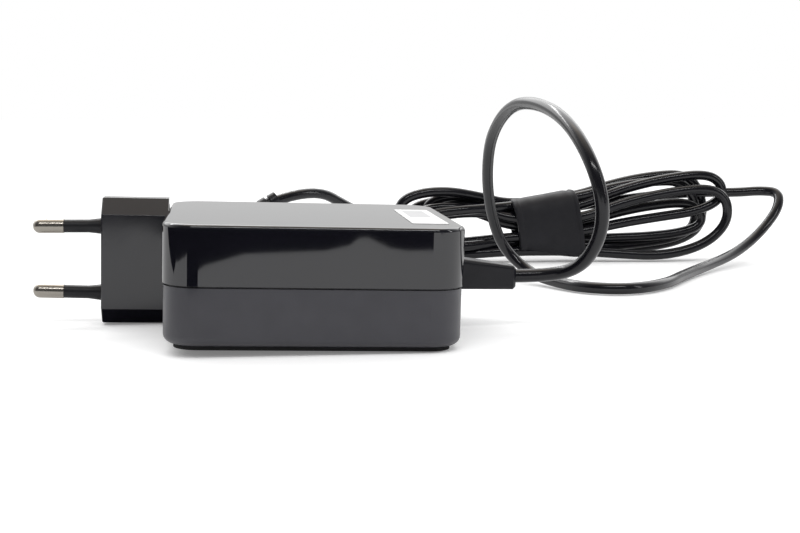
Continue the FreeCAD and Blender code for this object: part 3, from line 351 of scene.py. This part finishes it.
def two_tone(tree, shader, value, dark, light):
    ramp = add_node(tree, "ShaderNodeValToRGB")
    for stop, place, colour in zip(ramp.color_ramp.elements, TONE_STOPS, (dark, light)):
        stop.position = place
        stop.color = (*colour, 1.0)
    tree.links.new(value, ramp.inputs["Fac"])
    tree.links.new(ramp.outputs["Color"], shader.inputs["Base Color"])


def moulded(name, colour, roughness, grain_scale=900.0, grain_depth=0.00001, spread_share=0.12,
            metallic=0.0, ior=1.5):
    """Moulded plastic, rubber or metal: slight colour and gloss changes and a fine grain."""
    material, tree, shader = new_material(name)
    shader.inputs["Metallic"].default_value = metallic
    shader.inputs["IOR"].default_value = ior
    broad = noise(tree, BROAD_SCALE)
    two_tone(tree, shader, broad, [c * (1 - spread_share) for c in colour],
             [min(1.0, c * (1 + spread_share)) for c in colour])
    wear = spread(tree, noise(tree, WEAR_SCALE, 5.0), roughness * 0.85, min(1.0, roughness * 1.15))
    tree.links.new(wear, shader.inputs["Roughness"])
    if grain_depth:
        bump(tree, shader, noise(tree, grain_scale, 2.0), grain_depth)
    return material


def scratched(material):
    """Fine scratches along one direction, as on a plug that is handled a lot."""
    tree = material.node_tree
    shader = tree.nodes["Principled BSDF"]
    place = add_node(tree, "ShaderNodeTexCoord")
    turned = add_node(tree, "ShaderNodeVectorRotate", rotation_type="Y_AXIS")
    turned.inputs["Angle"].default_value = SCRATCH_DIRECTION
    tree.links.new(place.outputs["Object"], turned.inputs["Vector"])
    stretched = add_node(tree, "ShaderNodeVectorMath", operation="MULTIPLY")
    stretched.inputs[1].default_value = (1.0, 1.0, SCRATCH_STRETCH)
    tree.links.new(turned.outputs["Vector"], stretched.inputs[0])
    lines = add_node(tree, "ShaderNodeTexNoise")
    lines.inputs["Scale"].default_value = SCRATCH_SCALE
    lines.inputs["Detail"].default_value = 6.0
    tree.links.new(stretched.outputs["Vector"], lines.inputs["Vector"])
    thin = map_range(tree, lines.outputs["Fac"], *SCRATCH_THRESHOLD, 0.0, 1.0)
    bump(tree, shader, thin, SCRATCH_DEPTH)
    smudge = spread(tree, noise(tree, SMUDGE_SCALE, 4.0), *SMUDGE_ROUGHNESS)
    tree.links.new(smudge, shader.inputs["Roughness"])


MATERIALS = {
    "case_gloss": moulded("case_gloss", (0.005, 0.005, 0.0075), 0.04, grain_depth=0.0, ior=1.65),
    "case_satin": moulded("case_satin", (0.024, 0.0235, 0.031), 0.36, 1600.0, 0.000012, ior=1.6),
    "label_film": moulded("label_film", (0.82, 0.82, 0.82), 0.35, 300.0, 0.00001, 0.02),
    "plug_gloss": moulded("plug_gloss", (0.007, 0.007, 0.010), 0.07, grain_depth=0.0, ior=1.6),
    "inner_plastic": moulded("inner_plastic", (0.005, 0.005, 0.007), 0.45, ior=1.40),
    "natural_nylon": moulded("natural_nylon", (0.62, 0.59, 0.50), 0.5),
    "nickel": moulded("nickel", (0.30, 0.28, 0.25), 0.24, 400.0, 0.000004, 0.06, metallic=1.0),
    "copper": moulded("copper", (0.80, 0.42, 0.26), 0.3, metallic=1.0),
    "wire_insulation": moulded("wire_insulation", (0.03, 0.03, 0.03), 0.5),
    "circuit_board": moulded("circuit_board", (0.02, 0.13, 0.05), 0.35),
    "fibre_sheet": moulded("fibre_sheet", (0.60, 0.57, 0.45), 0.7),
    "fuse_body": moulded("fuse_body", (0.08, 0.045, 0.02), 0.45),
    "yellow_film": moulded("yellow_film", (0.72, 0.48, 0.03), 0.3),
    "blue_ceramic": moulded("blue_ceramic", (0.04, 0.12, 0.42), 0.35),
    "ferrite": moulded("ferrite", (0.05, 0.05, 0.053), 0.6),
    "enamelled_wire": moulded("enamelled_wire", (0.50, 0.17, 0.05), 0.3, metallic=0.8),
    "package_plastic": moulded("package_plastic", (0.015, 0.015, 0.015), 0.55),
    "capacitor_sleeve": moulded("capacitor_sleeve", (0.02, 0.025, 0.06), 0.3),
    "aluminium_sheet": moulded("aluminium_sheet", (0.75, 0.76, 0.77), 0.35, metallic=1.0),
    "thermal_pad": moulded("thermal_pad", (0.35, 0.37, 0.42), 0.75),
    "cord_jacket": moulded("cord_jacket", (0.005, 0.005, 0.007), 0.18, 700.0, 0.000003, ior=1.45),
    "moulded_boot": moulded("moulded_boot", (0.006, 0.006, 0.009), 0.38, 1200.0, 0.000010, ior=1.40),
    "strap": moulded("strap", (0.007, 0.007, 0.010), 0.60, 900.0, 0.00003, ior=1.38),
}


def add_panel(material):
    """The plain grey field on the label, from the label's own proportions."""
    tree = material.node_tree
    shader = tree.nodes["Principled BSDF"]
    place = add_node(tree, "ShaderNodeTexCoord")
    axes = add_node(tree, "ShaderNodeSeparateXYZ")
    tree.links.new(place.outputs["Generated"], axes.inputs[0])
    field = None
    for axis, span in zip("XY", PANEL_SPAN):
        inside = add_node(tree, "ShaderNodeMath", operation="COMPARE")
        inside.inputs[1].default_value = (span[0] + span[1]) / 2
        inside.inputs[2].default_value = (span[1] - span[0]) / 2
        tree.links.new(axes.outputs[axis], inside.inputs[0])
        if field is None:
            field = inside.outputs[0]
            continue
        both = add_node(tree, "ShaderNodeMath", operation="MULTIPLY")
        tree.links.new(field, both.inputs[0])
        tree.links.new(inside.outputs[0], both.inputs[1])
        field = both.outputs[0]
    paper = shader.inputs["Base Color"].links[0].from_socket
    printed = add_node(tree, "ShaderNodeMix", data_type="RGBA")
    tree.links.new(field, printed.inputs["Factor"])
    tree.links.new(paper, printed.inputs["A"])
    printed.inputs["B"].default_value = (*PANEL_GREY, 1.0)
    tree.links.new(printed.outputs["Result"], shader.inputs["Base Color"])


def paint_foot_shade_and_matt(material):
    """The foot under the case is rough and matt up to its step, with a painted shade there: a darker
    colour for the shadow under the case.
    """
    tree = material.node_tree
    shader = tree.nodes["Principled BSDF"]
    place = add_node(tree, "ShaderNodeTexCoord")
    height = add_node(tree, "ShaderNodeVectorMath", operation="DOT_PRODUCT")
    tree.links.new(place.outputs["Object"], height.inputs[0])
    height.inputs[1].default_value = BASE_NORMAL
    step = BASE_AT + FOOT_H
    # painted shade mask: 1 on the foot below its step, where the colour is darkened for the shadow and the
    # roughness raised
    foot = map_range(tree, height.outputs["Value"], step - FOOT_EDGE, step + FOOT_EDGE, 1.0, 0.0)
    for socket, there in (("Base Color", (*FOOT_SHADE_COLOUR, 1.0)), ("Roughness", FOOT_ROUGHNESS)):
        mixed = add_node(tree, "ShaderNodeMix", data_type="RGBA" if socket == "Base Color" else "FLOAT")
        before = shader.inputs[socket].links[0].from_socket
        tree.links.new(foot, mixed.inputs["Factor"])
        tree.links.new(before, mixed.inputs["A"])
        mixed.inputs["B"].default_value = there
        tree.links.new(mixed.outputs["Result"], shader.inputs[socket])


def finish_nodes():
    """Gives every node the material of its slot in the record."""
    for entry in frame["record"]["subparts"]:
        node = NODES[entry["node"]]
        material = MATERIALS[entry["material_slot"]]
        if not node.material_slots:
            node.data.materials.append(material)
        for place in node.material_slots:
            place.material = material
    cord.data.materials.append(MATERIALS["cord_jacket"])
    tie.data.materials.append(MATERIALS["strap"])


# ---- Studio ----

# Black cards that only reflections see: the corners (x, y) of those lying on the floor, one of them
# under the plug head, a painted contact shadow, and the upright one in front of the case's left front
# corner.
FLAGS_AND_PAINTED_SHADOW = [
    [(-0.60, -0.300), (-0.040, -0.288), (-0.024, -0.172), (-0.019, -0.170), (-0.012, -0.220),
     (0.003, -0.256), (0.036, -0.264), (0.047, -0.282), (0.054, -0.312), (0.058, -0.314),
     (0.063, -0.270), (0.069, -0.260), (0.080, -0.260), (0.090, -0.275), (0.098, -0.305),
     (0.101, -0.345), (0.094, -0.90), (-0.60, -0.90)],
    [(-0.214, -0.062), (-0.255, -0.105), (-0.215, -0.185), (-0.156, -0.249), (-0.60, -0.70),
     (-0.60, 0.300)],
    [(0.185, -0.270), (0.285, -0.170), (0.75, -0.44), (0.45, -0.80)],
    # painted shadow: this card under the plug head stands in for its contact shadow, mirrored by the
    # plug's lower bevel
    [(-0.040, 0.0125), (-0.0195, 0.0125), (-0.0195, 0.029), (-0.040, 0.029)],
]
FLAG_HEIGHT = 0.0005
CORNER_FLAG = [(-0.0216, 0.0140), (-0.0110, 0.0140), (-0.0110, 0.0310), (-0.0216, 0.0310)]     # x and z
CORNER_FLAG_Y = -0.050
HORIZON_LIGHT = 0.40
ZENITH_LIGHT = 1.05
ROOM_STRENGTH = 0.10
BACKDROP_STRENGTH = 0.80
BACK_GLOW = 1.9           # the softbox high behind the object, as gloss mirrors it
CEILING_COLOUR = (2.1, 1.93, 1.72, 1.0)
# The Y or Z of the view direction at which each change begins and is complete.
ROOM_SPAN = (-0.45, 0.35)
BACK_SPAN = (0.2, 0.6)
RAISED_SPAN = (0.20, 0.36)
CEILING_SPAN = (0.80, 0.97)
SKY_SPAN = (0.0, 0.8)
FLOOR_HALF = 3.0
FLOOR_DROP = 0.0002
FLOOR_COLOUR = (0.92, 0.92, 0.92, 1.0)
FLOOR_LIFT = 0.18         # a pale floor that the camera sees as white, with the shadows left in


def add_floor():
    bm = bmesh.new()
    bmesh.ops.create_grid(bm, x_segments=1, y_segments=1, size=FLOOR_HALF)
    floor = mesh_object("floor", bm)
    floor.location.z = -FLOOR_DROP
    material, tree, shader = new_material("floor")
    shader.inputs["Base Color"].default_value = FLOOR_COLOUR
    shader.inputs["Roughness"].default_value = 0.8
    shader.inputs["Specular IOR Level"].default_value = 0.0
    shader.inputs["Emission Color"].default_value = (1.0, 1.0, 1.0, 1.0)
    rays = add_node(tree, "ShaderNodeLightPath")
    lift = add_node(tree, "ShaderNodeMath", operation="MULTIPLY")
    lift.inputs[1].default_value = FLOOR_LIFT
    tree.links.new(rays.outputs["Is Camera Ray"], lift.inputs[0])
    tree.links.new(lift.outputs[0], shader.inputs["Emission Strength"])
    floor.data.materials.append(material)


def add_flags_and_painted_shadow():
    """Black cards on the floor and beside the front corner, which only reflections see; the one under the
    plug head is a painted contact shadow.
    """
    bm = bmesh.new()
    for corners in FLAGS_AND_PAINTED_SHADOW:
        bm.faces.new([bm.verts.new((x, y, FLAG_HEIGHT)) for x, y in corners])
    bm.faces.new([bm.verts.new((x, CORNER_FLAG_Y, z)) for x, z in CORNER_FLAG])
    flags_and_painted_shadow = mesh_object("flags_and_painted_shadow", bm, smooth=False)
    flags_and_painted_shadow.visible_camera = False
    flags_and_painted_shadow.visible_diffuse = False
    flags_and_painted_shadow.visible_shadow = False
    material, tree, shader = new_material("flags_and_painted_shadow")
    shader.inputs["Base Color"].default_value = (0.0, 0.0, 0.0, 1.0)
    shader.inputs["Specular IOR Level"].default_value = 0.0
    flags_and_painted_shadow.data.materials.append(material)


def ramp_up(tree, value, start, end, low, high):
    """A smooth step from low to high as the value goes from start to end."""
    return map_range(tree, value, start, end, low, high, interpolation_type="SMOOTHSTEP")


def add_world():
    """White to the eye and even on matt surfaces; what gloss mirrors is a white backdrop behind the
    object, a dim room in front of it and a warm ceiling."""
    world = bpy.data.worlds.new("studio")
    bpy.context.scene.world = world
    world.use_nodes = True
    tree = world.node_tree
    background = tree.nodes["Background"]
    place = add_node(tree, "ShaderNodeTexCoord")
    axes = add_node(tree, "ShaderNodeSeparateXYZ")
    tree.links.new(place.outputs["Generated"], axes.inputs[0])
    rays = add_node(tree, "ShaderNodeLightPath")

    warmth = add_node(tree, "ShaderNodeMix", data_type="RGBA")
    warmth.inputs["A"].default_value = (1.0, 1.0, 1.0, 1.0)
    warmth.inputs["B"].default_value = CEILING_COLOUR
    overhead = ramp_up(tree, axes.outputs["Z"], *CEILING_SPAN, 0.0, 1.0)
    gloss_overhead = add_node(tree, "ShaderNodeMath", operation="MULTIPLY")
    tree.links.new(overhead, gloss_overhead.inputs[0])
    tree.links.new(rays.outputs["Is Glossy Ray"], gloss_overhead.inputs[1])
    tree.links.new(gloss_overhead.outputs[0], warmth.inputs["Factor"])
    tree.links.new(warmth.outputs["Result"], background.inputs["Color"])

    room = ramp_up(tree, axes.outputs["Y"], *ROOM_SPAN, ROOM_STRENGTH, BACKDROP_STRENGTH)
    behind = ramp_up(tree, axes.outputs["Y"], *BACK_SPAN, 0.0, BACK_GLOW)
    raised = ramp_up(tree, axes.outputs["Z"], *RAISED_SPAN, 0.0, 1.0)
    glow = add_node(tree, "ShaderNodeMath", operation="MULTIPLY_ADD")
    tree.links.new(behind, glow.inputs[0])
    tree.links.new(raised, glow.inputs[1])
    tree.links.new(room, glow.inputs[2])
    for_gloss = add_node(tree, "ShaderNodeMix", data_type="FLOAT")
    sky = ramp_up(tree, axes.outputs["Z"], *SKY_SPAN, HORIZON_LIGHT, ZENITH_LIGHT)
    tree.links.new(sky, for_gloss.inputs["A"])
    tree.links.new(rays.outputs["Is Glossy Ray"], for_gloss.inputs["Factor"])
    tree.links.new(glow.outputs[0], for_gloss.inputs["B"])
    for_eye = add_node(tree, "ShaderNodeMix", data_type="FLOAT")
    for_eye.inputs["B"].default_value = 1.0
    tree.links.new(rays.outputs["Is Camera Ray"], for_eye.inputs["Factor"])
    tree.links.new(for_gloss.outputs["Result"], for_eye.inputs["A"])
    tree.links.new(for_eye.outputs["Result"], background.inputs["Strength"])


def area_light(name, at, towards, size, power):
    data = bpy.data.lights.new(name, "AREA")
    data.shape = "RECTANGLE"
    data.size, data.size_y = size
    data.energy = power
    light = new_object(name, data)
    light.location = at
    light.rotation_euler = (Vector(towards) - Vector(at)).to_track_quat("-Z", "Y").to_euler()
    return light


finish_nodes()
paint_foot_shade_and_matt(MATERIALS["case_satin"])
scratched(MATERIALS["plug_gloss"])
add_panel(MATERIALS["label_film"])
add_floor()
add_flags_and_painted_shadow()
add_world()
area_light("front_softbox", (0.05, -0.55, 0.75), (0.05, 0.05, 0.0), (0.8, 0.06), 2.4)
area_light("back_softbox", (-0.30, 0.75, 0.75), (0.05, 0.05, 0.0), (0.8, 0.08), 2.4)
area_light("side_softbox", (0.75, -0.30, 0.35), (0.08, 0.0, 0.03), (0.08, 0.5), 0.7)

bpy.context.scene.view_settings.view_transform = "Standard"
